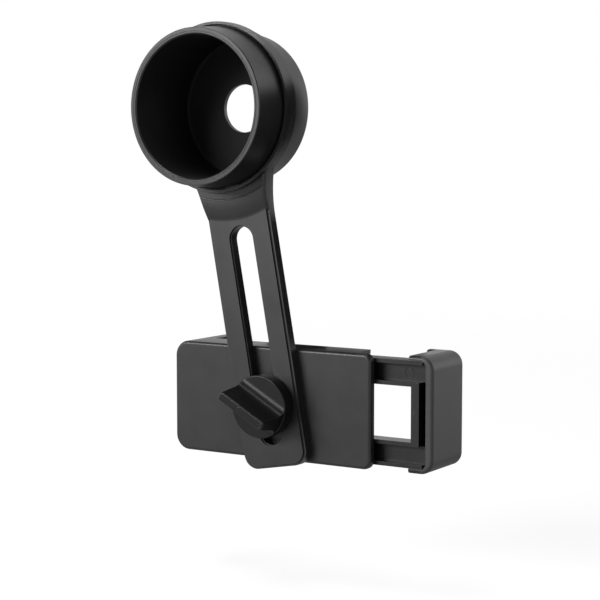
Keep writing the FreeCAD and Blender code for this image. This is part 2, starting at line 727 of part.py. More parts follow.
def make_sliding_jaw():
    """The sliding jaw and its frame, one moulding: two channelled rails round a window, and
    a hollow jaw that is open to the front."""
    body = add_body("sliding_jaw", clamp_placement)
    rail_left = -s.rail_left
    window_right = sliding_face + s.window_stop
    frame_right = jaw_right - s.frame_stop
    bar_right = window_right + s.window_bar
    inner_right = jaw_right - s.jaw_outer_wall
    inner_half = half_jaw - s.jaw_side_wall
    inner_corner = s.jaw_corner - s.jaw_outer_wall

    sketch = front_sketch(body, "fork_outline", frame_front)
    outline(sketch, [
        (rail_left, -half_frame), (frame_right, -half_frame), (frame_right, half_frame),
        (rail_left, half_frame), (rail_left, half_window), (window_right, half_window),
        (window_right, -half_window), (rail_left, -half_window),
    ])
    pad(body, sketch, "fork", s.frame_thickness)
    for name, depth, cut, forward in (
            ("front_channels", frame_front, s.channel_front, False),
            ("back_channels", frame_back, s.channel_back, True)):
        sketch = front_sketch(body, name + "_outline", depth)
        outline(sketch, rounded(rail_left, frame_right, channel_inner, channel_outer))
        outline(sketch, rounded(rail_left, frame_right, -channel_outer, -channel_inner))
        pocket(body, sketch, name, cut, forward)
    sketch = front_sketch(body, "bar_gap_outline", frame_front)
    outline(sketch, rounded(bar_right, frame_right, -channel_inner, channel_inner))
    pocket(body, sketch, "bar_gap", s.frame_thickness)

    sketch = front_sketch(body, "mouth_outline", jaw_front)
    outline(sketch, mirrored(channel(-jaw_right, -jaw_left, half_jaw, -inner_right, inner_half,
                                     s.jaw_corner, inner_corner)))
    pad(body, sketch, "mouth_walls", frame_back - jaw_front)
    sketch = front_sketch(body, "jaw_outline", frame_back)
    outline(sketch, rounded(jaw_left, jaw_right, -half_jaw, half_jaw, None, s.jaw_corner))
    outline(sketch, rounded(jaw_left + s.jaw_wall, inner_right, -inner_half, inner_half, None, inner_corner))
    pad(body, sketch, "jaw_walls", jaw_hollow_end - frame_back)
    sketch = front_sketch(body, "back_outline", jaw_hollow_end)
    outline(sketch, rounded(sliding_face - s.jaw_lip, jaw_right, -half_jaw, half_jaw,
                            s.edge_round, s.jaw_corner))
    pad(body, sketch, "jaw_back", s.jaw_back_wall)

    # Pegs for the springs, a moulded step in the lower channel and an ejector ring in the upper.
    sketch = front_sketch(body, "peg_outline", frame_front + s.slide_gap * 2)
    for side in (-1, 1):
        circle(sketch, (s.frame_peg, channel_middle * side), s.peg_diameter / 2)
    pad(body, sketch, "spring_pegs", s.channel_front - s.slide_gap * 2)
    sketch = front_sketch(body, "step_outline", floor_front - s.floor_step)
    outline(sketch, rounded(frame_right - s.floor_step_width, frame_right, -channel_outer, -channel_inner))
    pad(body, sketch, "floor_step_block", s.floor_step)
    sketch = front_sketch(body, "mark_outline", floor_front)
    mark_at = (frame_right - s.floor_step_width + s.floor_mark / 2, channel_middle)
    circle(sketch, mark_at, s.floor_mark / 2)
    circle(sketch, mark_at, s.floor_mark / 2 - s.floor_mark_depth)
    pocket(body, sketch, "floor_ring", s.floor_mark_depth)
    soften(body, "mouth_round", s.edge_round,
           lambda box: lies_at(box.YMin, box.YMax, jaw_front.value)
           and max(box.XLength, box.ZLength) > s.jaw_outer_wall.value
           and (max(-box.ZMin, box.ZMax) > inner_half.value + s.slide_gap.value
                or box.XMax > inner_right.value + s.slide_gap.value))
    soften(body, "jaw_round", s.edge_round,
           lambda box: lies_at(box.YMin, box.YMax, jaw_back.value))


def make_spring(label, side):
    """A drawn-out tension spring as the sleeve that its turns fill, with an eye at each end
    round its peg."""
    wire = s.spring_wire.value / 2
    eye = s.peg_diameter.value / 2 + s.spring_wire.value
    outer = s.spring_diameter.value / 2
    start = -s.housing_peg.value
    end = s.frame_peg.value
    depth = floor_front.value - s.spring_diameter.value / 2 - s.slide_gap.value
    height = channel_middle.value * side
    across = FreeCAD.Vector(1, 0, 0)
    first = FreeCAD.Vector(start + eye, depth, height)
    coil = Part.makeCylinder(outer, end - start - 2 * eye, first, across)
    coil = coil.cut(Part.makeCylinder(outer - 2 * wire, end - start - 2 * eye, first, across))
    loops = []
    for place in (start, end):
        centre = FreeCAD.Vector(place, depth, height)
        loops.append(Part.makeTorus(eye, wire, centre, FreeCAD.Vector(0, 1, 0)))
    last = FreeCAD.Vector(end - eye - 2 * wire, depth, height)
    plates = [Part.makeCylinder(outer, 2 * wire, point, across) for point in (first, last)]
    spring = doc.addObject("Part::Feature", label)
    spring.Label = label
    spring.Shape = coil.multiFuse(loops + plates).removeSplitter()
    spring.Placement = clamp_placement
    parts.append(spring)


make_cup()
make_arm()
make_bush()
make_housing()
make_cover()
for screw_number, (screw_x, screw_z) in enumerate(screw_points(), start=1):
    make_screw(screw_number, screw_x, screw_z)
make_back_pad()
make_jaw_pad("fixed_jaw_pad", -s.fixed_grip, 1)
make_nut()
make_sliding_jaw()
make_jaw_pad("sliding_jaw_pad", sliding_face, -1)
make_spring("spring_upper", 1)
make_spring("spring_lower", -1)
make_washer()
make_knob()
make_bolt()
doc.recompute()

failed = [o.Label for o in doc.Objects if "Invalid" in o.State or "Error" in o.State]
if failed:
    raise RuntimeError(f"objects that did not compute: {failed}")
for part in parts:
    shape = part.Shape
    if shape.isNull() or not shape.isValid() or not shape.Solids:
        raise RuntimeError(f"{part.Label} has no valid solid")

os.makedirs("parts", exist_ok=True)
for part in parts:
    part.Shape.exportStep(f"parts/{part.Label}.step")
    print(part.Label, len(part.Shape.Solids), round(part.Shape.Volume, 1))
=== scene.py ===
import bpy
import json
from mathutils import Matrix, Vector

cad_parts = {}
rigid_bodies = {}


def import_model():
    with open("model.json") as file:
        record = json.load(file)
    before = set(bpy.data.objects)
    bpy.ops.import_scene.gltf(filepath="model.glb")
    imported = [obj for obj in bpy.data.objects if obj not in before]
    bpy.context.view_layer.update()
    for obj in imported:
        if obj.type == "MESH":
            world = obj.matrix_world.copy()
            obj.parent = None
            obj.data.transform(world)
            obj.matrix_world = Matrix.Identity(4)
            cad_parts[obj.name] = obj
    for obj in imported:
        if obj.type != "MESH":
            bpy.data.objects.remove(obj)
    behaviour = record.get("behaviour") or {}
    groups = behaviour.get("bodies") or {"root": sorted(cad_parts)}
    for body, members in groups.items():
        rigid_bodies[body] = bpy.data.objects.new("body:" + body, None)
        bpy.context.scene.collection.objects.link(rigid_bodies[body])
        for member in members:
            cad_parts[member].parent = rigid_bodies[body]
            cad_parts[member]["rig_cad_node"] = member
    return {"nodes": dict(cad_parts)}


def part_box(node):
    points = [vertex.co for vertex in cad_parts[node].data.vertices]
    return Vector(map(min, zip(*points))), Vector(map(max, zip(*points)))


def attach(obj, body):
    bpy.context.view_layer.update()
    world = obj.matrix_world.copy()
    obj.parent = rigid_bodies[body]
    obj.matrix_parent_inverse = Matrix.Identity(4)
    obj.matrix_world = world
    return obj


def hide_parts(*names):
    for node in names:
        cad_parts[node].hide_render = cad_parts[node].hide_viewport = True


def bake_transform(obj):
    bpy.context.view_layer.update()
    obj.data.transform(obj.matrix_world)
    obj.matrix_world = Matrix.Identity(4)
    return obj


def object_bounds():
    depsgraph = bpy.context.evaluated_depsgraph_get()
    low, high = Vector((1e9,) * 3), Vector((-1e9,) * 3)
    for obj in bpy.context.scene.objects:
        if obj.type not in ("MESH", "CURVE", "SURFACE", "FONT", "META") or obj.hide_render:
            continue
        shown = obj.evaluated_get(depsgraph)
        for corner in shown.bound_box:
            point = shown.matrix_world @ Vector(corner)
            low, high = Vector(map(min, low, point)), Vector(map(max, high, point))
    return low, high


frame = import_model()
cad_box = [list(corner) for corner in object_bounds()]

import json
import math

import bmesh
import bpy
from mathutils import Vector


# The view: a long lens to the right of the cup's axis and a little below it, tilted slightly
# down, as in the photograph. The adapter hangs with its cup towards the lens.
LENS_PLACE = (0.29451, -0.41106, -0.01232)
LENS_TILT = 84.838  # degrees up from straight down
LENS_TURN = 32.014  # degrees round from straight ahead
FOCAL_LENGTH = 100.87
FILM_WIDTH = 36

bpy.ops.object.camera_add(location=LENS_PLACE,
                          rotation=(math.radians(LENS_TILT), 0, math.radians(LENS_TURN)))
camera = bpy.context.object
camera.name = "camera"
camera.data.lens = FOCAL_LENGTH
camera.data.sensor_width = FILM_WIDTH
camera.data.clip_start = 0.02
bpy.context.scene.camera = camera
bpy.context.scene.view_settings.view_transform = "Standard"


# The studio: a plain pale floor in a white surround whose ceiling is dark, a low soft box to the
# left, one overhead, and a bright panel behind to the right. Two small flags with soft borders,
# behind the slot and beside the arm, show only in reflections and darken the right flanks.
SOFT_LIGHT = 0.2  # how much the surround lights matt surfaces
LAMPS_AIM = Vector((0.015, 0.01, -0.055))
PANEL_TOWARDS = (0.53, 0.85, 0)
FLOOR_TINT = (0.3, 0.3, 0.3, 1)
FLOOR_DROP = 0.035  # the adapter hangs clear of the floor
FLAG_TINT = (0.03, 0.03, 0.03, 1)
FLAG_FADE = 0.82  # the share of its half width at which a flag starts to fade

# Ramps: where each starts and ends, and then its values there.
CEILING_OVER_WALLS = (0.1, 0.5, 1, 0.05)
WALL_BEHIND_RISE = (-0.3, 0.6, 0, 0.45)
PANEL_BORDER = (0.85, 0.97, 0, 1)
FLOOR_LIFT = (0.1, 1.6, 0.8, 0.96)
FLOOR_SHEEN = (0.15, 1.0, 0.3, 0.95)


def node_maths(nodes, links, operation, first, second=None):
    node = nodes.new("ShaderNodeMath")
    node.operation = operation
    for socket, value in zip(node.inputs, (first, second)):
        if isinstance(value, (int, float)):
            socket.default_value = value
        elif value is not None:
            links.new(value, socket)
    return node.outputs[0]


def ramp(nodes, links, value, start, end, at_start, at_end):
    node = nodes.new("ShaderNodeMapRange")
    node.interpolation_type = "SMOOTHSTEP"
    node.inputs["From Min"].default_value = start
    node.inputs["From Max"].default_value = end
    node.inputs["To Min"].default_value = at_start
    node.inputs["To Max"].default_value = at_end
    links.new(value, node.inputs["Value"])
    return node.outputs[0]


def surround():
    """The white surround: full on for the lens, shaped in reflections and faint as a light."""
    world = bpy.data.worlds.new("surround")
    bpy.context.scene.world = world
    world.use_nodes = True
    nodes, links = world.node_tree.nodes, world.node_tree.links
    nodes.clear()
    lit = nodes.new("ShaderNodeBackground")
    lit.inputs["Strength"].default_value = SOFT_LIGHT
    seen = nodes.new("ShaderNodeBackground")
    seen.inputs["Strength"].default_value = 1
    mirrored = nodes.new("ShaderNodeBackground")
    for paper in (lit, seen, mirrored):
        paper.inputs["Color"].default_value = (1, 1, 1, 1)
    where = nodes.new("ShaderNodeTexCoord").outputs["Generated"]
    height = nodes.new("ShaderNodeSeparateXYZ")
    links.new(where, height.inputs[0])
    wall_behind = ramp(nodes, links, height.outputs["Y"], *WALL_BEHIND_RISE)
    up = node_maths(nodes, links, "SUBTRACT", height.outputs["Z"], wall_behind)
    below_ceiling = ramp(nodes, links, up, *CEILING_OVER_WALLS)
    to_panel = nodes.new("ShaderNodeVectorMath")
    to_panel.operation = "DOT_PRODUCT"
    to_panel.inputs[1].default_value = PANEL_TOWARDS
    links.new(where, to_panel.inputs[0])
    panel = ramp(nodes, links, to_panel.outputs["Value"], *PANEL_BORDER)
    strength = node_maths(nodes, links, "ADD", below_ceiling, panel)
    links.new(strength, mirrored.inputs["Strength"])
    path = nodes.new("ShaderNodeLightPath").outputs
    either = node_maths(nodes, links, "MAXIMUM", path["Is Glossy Ray"], path["Is Transmission Ray"])
    lit_or_mirrored = nodes.new("ShaderNodeMixShader")
    links.new(either, lit_or_mirrored.inputs[0])
    links.new(lit.outputs[0], lit_or_mirrored.inputs[1])
    links.new(mirrored.outputs[0], lit_or_mirrored.inputs[2])
    or_seen = nodes.new("ShaderNodeMixShader")
    links.new(path["Is Camera Ray"], or_seen.inputs[0])
    links.new(lit_or_mirrored.outputs[0], or_seen.inputs[1])
    links.new(seen.outputs[0], or_seen.inputs[2])
    out = nodes.new("ShaderNodeOutputWorld")
    links.new(or_seen.outputs[0], out.inputs["Surface"])


def softbox(name, width, height, place, watts):
    """A rectangular area lamp that faces the adapter's middle."""
    bpy.ops.object.light_add(type="AREA", location=place)
    lamp = bpy.context.object
    lamp.name = name
    lamp.rotation_euler = (LAMPS_AIM - Vector(place)).to_track_quat("-Z", "Y").to_euler()
    lamp.data.shape = "RECTANGLE"
    lamp.data.size = width
    lamp.data.size_y = height
    lamp.data.energy = watts


def lay_floor():
    """The floor is seen from above only, so that the adapter's underside can be seen too.

    Lift is the glow that it adds for the lens, and sheen what it adds in reflections.
    """
    bpy.ops.mesh.primitive_plane_add(size=8, location=(0, 0, cad_box[0][2] - FLOOR_DROP))
    floor = bpy.context.object
    floor.name = "floor"
    paint = bpy.data.materials.new("pale_floor")
    paint.use_nodes = True
    nodes, links = paint.node_tree.nodes, paint.node_tree.links
    nodes.clear()
    matt = nodes.new("ShaderNodeBsdfDiffuse")
    matt.inputs["Color"].default_value = FLOOR_TINT
    glow = nodes.new("ShaderNodeEmission")
    glow.inputs["Color"].default_value = (1, 1, 1, 1)
    where = nodes.new("ShaderNodeTexCoord").outputs["Object"]
    away = nodes.new("ShaderNodeVectorMath")
    away.operation = "LENGTH"
    links.new(where, away.inputs[0])
    lift = ramp(nodes, links, away.outputs["Value"], *FLOOR_LIFT)
    sheen = ramp(nodes, links, away.outputs["Value"], *FLOOR_SHEEN)
    path = nodes.new("ShaderNodeLightPath").outputs
    either = node_maths(nodes, links, "MAXIMUM", path["Is Glossy Ray"], path["Is Transmission Ray"])
    seen = node_maths(nodes, links, "MULTIPLY", path["Is Camera Ray"], lift)
    mirrored = node_maths(nodes, links, "MULTIPLY", either, sheen)
    strength = node_maths(nodes, links, "ADD", seen, mirrored)
    links.new(strength, glow.inputs["Strength"])
    both = nodes.new("ShaderNodeAddShader")
    links.new(matt.outputs[0], both.inputs[0])
    links.new(glow.outputs[0], both.inputs[1])
    clear = nodes.new("ShaderNodeBsdfTransparent")
    from_above = nodes.new("ShaderNodeMixShader")
    links.new(nodes.new("ShaderNodeNewGeometry").outputs["Backfacing"], from_above.inputs[0])
    links.new(both.outputs[0], from_above.inputs[1])
    links.new(clear.outputs[0], from_above.inputs[2])
    out = nodes.new("ShaderNodeOutputMaterial")
    links.new(from_above.outputs[0], out.inputs["Surface"])
    floor.data.materials.append(paint)


def stand_flag(name, middle, width, height):
    """An upright black sheet that only reflections show, faded towards its borders."""
    bpy.ops.mesh.primitive_plane_add(size=1, location=middle, rotation=(math.radians(90), 0, 0))
    flag = bpy.context.object
    flag.name = name
    flag.scale = (width, height, 1)
    bpy.ops.object.transform_apply(location=False, rotation=False, scale=True)
    paint = bpy.data.materials.new(name + "_black")
    paint.use_nodes = True
    nodes, links = paint.node_tree.nodes, paint.node_tree.links
    nodes.clear()
    where = nodes.new("ShaderNodeTexCoord").outputs["Object"]
    apart = nodes.new("ShaderNodeSeparateXYZ")
    links.new(where, apart.inputs[0])
    sides = []
    for axis, half in (("X", width / 2), ("Y", height / 2)):
        out_by = node_maths(nodes, links, "ABSOLUTE", apart.outputs[axis])
        sides.append(ramp(nodes, links, out_by, half * FLAG_FADE, half, 1, 0))
    path = nodes.new("ShaderNodeLightPath").outputs
    cover = node_maths(nodes, links, "MULTIPLY", sides[0], sides[1])
    cover = node_maths(nodes, links, "MULTIPLY", cover, path["Is Glossy Ray"])
    black = nodes.new("ShaderNodeEmission")
    black.inputs["Color"].default_value = FLAG_TINT
    clear = nodes.new("ShaderNodeBsdfTransparent")
    shown = nodes.new("ShaderNodeMixShader")
    links.new(cover, shown.inputs[0])
    links.new(clear.outputs[0], shown.inputs[1])
    links.new(black.outputs[0], shown.inputs[2])
    out = nodes.new("ShaderNodeOutputMaterial")
    links.new(shown.outputs[0], out.inputs["Surface"])
    flag.data.materials.append(paint)


surround()
softbox("softbox_key", width=0.6, height=0.34, place=(-0.52, -0.86, 0.34), watts=11)
softbox("softbox_top", width=0.5, height=0.3, place=(-0.075, -0.125, 0.83), watts=3)
lay_floor()
stand_flag("flag_beside_arm", middle=(0.0445, 0.0303, -0.029), width=0.04, height=0.094)
stand_flag("flag_behind_slot", middle=(0.0175, 0.0303, -0.054), width=0.024, height=0.052)


# The eyepiece cup: one open moulding in black nylon that slips over a telescope's eyepiece. Its
# mould was finely blasted, so its skin has a fine grain. The ring that it is pressed into hides
# its tail.
MM = 0.001  # metres in a millimetre. Sizes below are in millimetres.
CUP_TINT = (0.008, 0.008, 0.0083, 1)
# The inside's darker tint is painted shade in the deep bore.
INSIDE_SHADE_TINT = (0.0055, 0.0055, 0.0057, 1)
BARREL_RADIUS = 23.6
BARREL_LENGTH = 12.0  # from the mouth to the shoulder
BARREL_SWELL = 1.04
BORE_RADIUS = 21.5
FLOOR_DEPTH = 27.0
CUP_EASE = 0.25  # the rounding of the cup's edges
RIM_EASE = 0.7
RIM_GROOVE = ((0, -0.03, 0), 22.35, 0.14)
ROUNDED_FROM = 28  # degrees of turn from which an outer edge is rounded
SMOOTH_UP_TO = 50  # degrees of turn up to which a surface is shaded smooth


def new_socket(group, name, kind, value=None, way="INPUT"):
    socket = group.interface.new_socket(name=name, in_out=way, socket_type=kind)
    if value is not None:
        socket.default_value = value


def moulded_skin():
    """The skin of a blasted mould: fine pebbles, cloudy gloss, edge wear with painted highlight, a
    little dust.
    """
    group = bpy.data.node_groups.new("moulded_skin", "ShaderNodeTree")
    new_socket(group, "Place", "NodeSocketVector")
    new_socket(group, "Tint", "NodeSocketColor", (0.02, 0.02, 0.02, 1))
    new_socket(group, "Gloss", "NodeSocketFloat", 0.45)
    new_socket(group, "Pebble", "NodeSocketFloat", 0.3)
    new_socket(group, "Cloud", "NodeSocketFloat", 0.25)
    new_socket(group, "Rub_and_highlight", "NodeSocketFloat", 0.3)
    new_socket(group, "Dust", "NodeSocketFloat", 0.1)
    new_socket(group, "Colour", "NodeSocketColor", way="OUTPUT")
    new_socket(group, "Roughness", "NodeSocketFloat", way="OUTPUT")
    new_socket(group, "Height", "NodeSocketFloat", way="OUTPUT")
    nodes, links = group.nodes, group.links
    cloud_scale, speck_scale = 0.12, 2.3  # per millimetre
    corner_reach, shelter_reach = 0.45 * MM, 2.5 * MM
    still_flat, well_bent = 0.995, 0.9  # cosines of the turn at a corner
    speckle = 0.35  # how much the pebbles change the tint
    # The edges' light tint stands for wear and painted highlight together; the dust's for real
    # dust.
    rubbed_and_highlight_tint, dust_tint = (0.075, 0.075, 0.077, 1), (0.16, 0.155, 0.15, 1)
    given = nodes.new("NodeGroupInput")
    made = nodes.new("NodeGroupOutput")

    def maths(operation, first, second):
        return node_maths(nodes, links, operation, first, second)

    def noise(scale, detail):
        node = nodes.new("ShaderNodeTexNoise")
        links.new(in_mm.outputs[0], node.inputs["Vector"])
        node.inputs["Detail"].default_value = detail
        node.inputs["Roughness"].default_value = 0.55
        if isinstance(scale, (int, float)):
            node.inputs["Scale"].default_value = scale
        else:
            links.new(scale, node.inputs["Scale"])
        return node.outputs["Fac"]

    in_mm = nodes.new("ShaderNodeVectorMath")
    in_mm.operation = "SCALE"
    in_mm.inputs["Scale"].default_value = 1 / MM
    links.new(given.outputs["Place"], in_mm.inputs[0])

    pebbles = noise(maths("DIVIDE", 1, given.outputs["Pebble"]), 2)
    clouds = noise(cloud_scale, 4)
    specks = noise(speck_scale, 1)

    # The edges are lightened and made glossier: partly wear, partly a painted highlight along them.
    soft_corner = nodes.new("ShaderNodeBevel")
    soft_corner.samples = 4
    soft_corner.inputs["Radius"].default_value = corner_reach
    true_face = nodes.new("ShaderNodeNewGeometry")
    turned = nodes.new("ShaderNodeVectorMath")
    turned.operation = "DOT_PRODUCT"
    links.new(soft_corner.outputs[0], turned.inputs[0])
    links.new(true_face.outputs["Normal"], turned.inputs[1])
    edge = nodes.new("ShaderNodeMapRange")
    edge.inputs["From Min"].default_value = still_flat
    edge.inputs["From Max"].default_value = well_bent
    links.new(turned.outputs["Value"], edge.inputs["Value"])
    worn_and_highlit = maths("MULTIPLY", edge.outputs[0], maths("MULTIPLY", given.outputs["Rub_and_highlight"], clouds))

    shelter = nodes.new("ShaderNodeAmbientOcclusion")
    shelter.samples = 4
    shelter.inputs["Distance"].default_value = shelter_reach
    hidden = maths("SUBTRACT", 1, shelter.outputs["AO"])
    settled = maths("MULTIPLY", maths("MULTIPLY", hidden, specks), given.outputs["Dust"])

    cloudy = maths("MULTIPLY", maths("SUBTRACT", clouds, 0.5), given.outputs["Cloud"])
    speckled = maths("MULTIPLY", maths("SUBTRACT", pebbles, 0.5), speckle)
    factor = maths("ADD", 1, maths("ADD", maths("MULTIPLY", cloudy, 2), speckled))
    tinted = nodes.new("ShaderNodeVectorMath")
    tinted.operation = "SCALE"
    links.new(given.outputs["Tint"], tinted.inputs[0])
    links.new(factor, tinted.inputs["Scale"])
    rubbed_and_highlit = nodes.new("ShaderNodeMix")
    rubbed_and_highlit.data_type = "RGBA"
    links.new(worn_and_highlit, rubbed_and_highlit.inputs["Factor"])
    links.new(tinted.outputs[0], rubbed_and_highlit.inputs["A"])
    rubbed_and_highlit.inputs["B"].default_value = rubbed_and_highlight_tint
    dusty = nodes.new("ShaderNodeMix")
    dusty.data_type = "RGBA"
    links.new(settled, dusty.inputs["Factor"])
    links.new(rubbed_and_highlit.outputs["Result"], dusty.inputs["A"])
    dusty.inputs["B"].default_value = dust_tint
    links.new(dusty.outputs["Result"], made.inputs["Colour"])

    rough = maths("ADD", given.outputs["Gloss"], maths("MULTIPLY", cloudy, 0.5))
    rough = maths("ADD", rough, maths("MULTIPLY", speckled, 0.3))
    rough = maths("SUBTRACT", rough, maths("MULTIPLY", worn_and_highlit, 0.25))
    rough = maths("ADD", rough, maths("MULTIPLY", settled, 0.4))
    links.new(rough, made.inputs["Roughness"])
    links.new(pebbles, made.inputs["Height"])
    return group


SKIN = moulded_skin()


def plastic(name, tint, gloss=0.42, pebble=0.3, relief=0.012, cloud=0.25, rub_and_highlight=0.7, dust=0.12,
            mirror=0.5):
    """A moulded plastic. Pebble is the grain's size, relief its depth and mirror its sheen; its
    edges are lightened by wear and painted highlight.
    """
    material = bpy.data.materials.new(name)
    material.use_nodes = True
    nodes, links = material.node_tree.nodes, material.node_tree.links
    shader = nodes["Principled BSDF"]
    shader.inputs["Specular IOR Level"].default_value = mirror
    place = nodes.new("ShaderNodeTexCoord")
    skin = nodes.new("ShaderNodeGroup")
    skin.node_tree = SKIN
    links.new(place.outputs["Object"], skin.inputs["Place"])
    skin.inputs["Tint"].default_value = tint
    skin.inputs["Gloss"].default_value = gloss
    skin.inputs["Pebble"].default_value = pebble
    skin.inputs["Cloud"].default_value = cloud
    skin.inputs["Rub_and_highlight"].default_value = rub_and_highlight
    skin.inputs["Dust"].default_value = dust
    bump = nodes.new("ShaderNodeBump")
    bump.inputs["Distance"].default_value = relief * MM
    links.new(skin.outputs["Height"], bump.inputs["Height"])
    links.new(skin.outputs["Colour"], shader.inputs["Base Color"])
    links.new(skin.outputs["Roughness"], shader.inputs["Roughness"])
    links.new(bump.outputs["Normal"], shader.inputs["Normal"])
    return material


def rounded_edges(piece, ease, wider, free):
    widest, picked = wider or (ease, lambda middle: False)
    shape = bmesh.new()
    shape.from_mesh(piece.data)
    weight = shape.edges.layers.float.new("bevel_weight_edge")
    for edge in shape.edges:
        if edge.calc_face_angle_signed(0) > math.radians(ROUNDED_FROM):
            middle = (edge.verts[0].co + edge.verts[1].co) / 2 / MM
            edge[weight] = 1 if picked(middle) else ease / widest
    shape.to_mesh(piece.data)
    shape.free()
    rounding = piece.modifiers.new("rounding", "BEVEL")
    rounding.width = widest * MM
    rounding.segments = 3
    rounding.limit_method = "WEIGHT"
    rounding.use_clamp_overlap = not free
    rounding.miter_outer = "MITER_ARC"
    bpy.ops.object.modifier_apply(modifier="rounding")


def ring_of_wire(centre, radius, wire, steps):
    bpy.ops.object.select_all(action="DESELECT")
    bpy.ops.mesh.primitive_torus_add(
        major_radius=radius * MM, minor_radius=wire * MM, major_segments=steps, minor_segments=12,
        location=Vector(centre) * MM, rotation=(math.radians(90), 0, 0))
    bpy.ops.object.transform_apply(location=True, rotation=True, scale=True)
    return bpy.context.object


def groove(piece, centre, radius, wire):
    """Cuts a round groove into the piece's front, the track of a wire of that radius."""
    cutter = ring_of_wire(centre, radius, wire, steps=240)
    bpy.context.view_layer.objects.active = piece
    cut = piece.modifiers.new("groove", "BOOLEAN")
    cut.operation = "DIFFERENCE"
    cut.solver = "EXACT"
    cut.object = cutter
    bpy.ops.object.modifier_apply(modifier="groove")
    bpy.data.objects.remove(cutter, do_unlink=True)


def witness_ring(piece, centre, radius, wire):
    """Adds the fine raised ring that an ejector pin leaves."""
    ring_of_wire(centre, radius, wire, steps=48)
    piece.select_set(True)
    bpy.context.view_layer.objects.active = piece
    bpy.ops.object.join()


def eased(node, name, body, material, ease, wider=None, free=False, grooves=(), rings=()):
    """The node's shape again, its corners joined and its outer edges rounded by ease.

    Wider is a rounding for the edges that a test of their middle picks, with that test. Free
    lets a rounding run past its neighbours. Grooves and rings are each a centre, a radius and
    the wire's radius.
    """
    bpy.ops.object.select_all(action="DESELECT")
    frame["nodes"][node].select_set(True)
    bpy.context.view_layer.objects.active = frame["nodes"][node]
    bpy.ops.object.duplicate()
    piece = bpy.context.object
    bpy.ops.object.parent_clear(type="CLEAR_KEEP_TRANSFORM")
    piece.name = piece.data.name = name
    del piece["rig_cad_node"]
    bpy.ops.object.mode_set(mode="EDIT")
    bpy.ops.mesh.select_all(action="SELECT")
    bpy.ops.mesh.remove_doubles(threshold=0.002 * MM)
    bpy.ops.mesh.dissolve_limited(angle_limit=math.radians(0.5))
    bpy.ops.mesh.customdata_custom_splitnormals_clear()
    bpy.ops.object.mode_set(mode="OBJECT")
    rounded_edges(piece, ease, wider, free)
    for track in grooves:
        groove(piece, *track)
    for ring in rings:
        witness_ring(piece, *ring)
    bpy.ops.object.select_all(action="DESELECT")
    piece.select_set(True)
    bpy.context.view_layer.objects.active = piece
    bpy.ops.object.shade_smooth_by_angle(angle=math.radians(SMOOTH_UP_TO))
    evened = piece.modifiers.new("evened", "WEIGHTED_NORMAL")
    evened.keep_sharp = True
    bpy.ops.object.modifier_apply(modifier="evened")
    piece.data.materials.clear()
    piece.data.materials.append(material)
    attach(piece, body)
    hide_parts(node)
    return piece


def across_and_deep(point):
    """A point's distance from the cup's axis and its depth from the mouth."""
    return math.hypot(point.x, point.z), point.y


def round_rim(middle):
    across, deep = across_and_deep(middle)
    return across > BARREL_RADIUS - 0.3 and deep < 1


cup_black = plastic("cup_black", CUP_TINT, gloss=0.38, pebble=0.26)
cup_inside_shaded = plastic("cup_inside_shaded", INSIDE_SHADE_TINT, gloss=0.7, pebble=0.4, relief=0.02, mirror=0.24)
cup = eased("eyepiece_cup", "cup_moulding", "arm", cup_black, CUP_EASE,
            wider=(RIM_EASE, round_rim), grooves=[RIM_GROOVE])

# The barrel swells a little towards its shoulder.
bpy.context.tool_settings.mesh_select_mode = (True, False, False)
bpy.ops.object.mode_set(mode="EDIT")
bpy.ops.mesh.select_all(action="DESELECT")
bpy.ops.object.mode_set(mode="OBJECT")
for corner in cup.data.vertices:
    across, deep = across_and_deep(corner.co / MM)
    corner.select = abs(across - BARREL_RADIUS) < 0.1 and abs(deep - BARREL_LENGTH) < 0.1
bpy.ops.object.mode_set(mode="EDIT")
bpy.ops.transform.resize(value=(BARREL_SWELL, 1, BARREL_SWELL), center_override=(0, 0, 0))
bpy.ops.object.mode_set(mode="OBJECT")

# Its inside is duller than its outside, and its darker tint is painted shade.
cup.data.materials.append(cup_inside_shaded)
for face in cup.data.polygons:
    across, deep = across_and_deep(face.center / MM)
    if across < BORE_RADIUS + 0.1 and 0.5 < deep < FLOOR_DEPTH + 0.2:
        face.material_index = 1


# The arm: one moulding in glass-filled nylon, with the ring that the cup is pressed into, a
# flared neck and a slotted bar with a raised face. Its grain is slightly coarser than the cup's.
ARM_TINT = (0.013, 0.013, 0.0134, 1)
ARM_EASE = 0.25
LIP_EASE = 0.35
ARM_LOW = Vector(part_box("arm")[0]) / MM
LIP_RADIUS = -ARM_LOW.x
LIP_FRONT = ARM_LOW.y
NECK_CREASE = ((0, 12.8, 0), 28.2, 0.28)


def on_ring_lip(middle):
    across, deep = across_and_deep(middle)
    return abs(across - LIP_RADIUS) < 0.3 and deep < LIP_FRONT + 0.4


arm_black = plastic("arm_black", ARM_TINT, gloss=0.4, pebble=0.32, relief=0.018, cloud=0.4)
eased("arm", "arm_moulding", "arm", arm_black, ARM_EASE, wider=(LIP_EASE, on_ring_lip),
      grooves=[NECK_CREASE])


# The slot bush: plain acetal, turned from rod, smooth and a little waxy. It slips over the bolt
# and rides in the arm's slot.
BUSH_TINT = (0.05, 0.05, 0.05, 1)
BUSH_EASE = 0.2
bush_grey = plastic("bush_grey", BUSH_TINT, gloss=0.36, pebble=0.6, relief=0.004, rub_and_highlight=0.6)
eased("slot_bush", "bush_turned", "slider", bush_grey, BUSH_EASE)


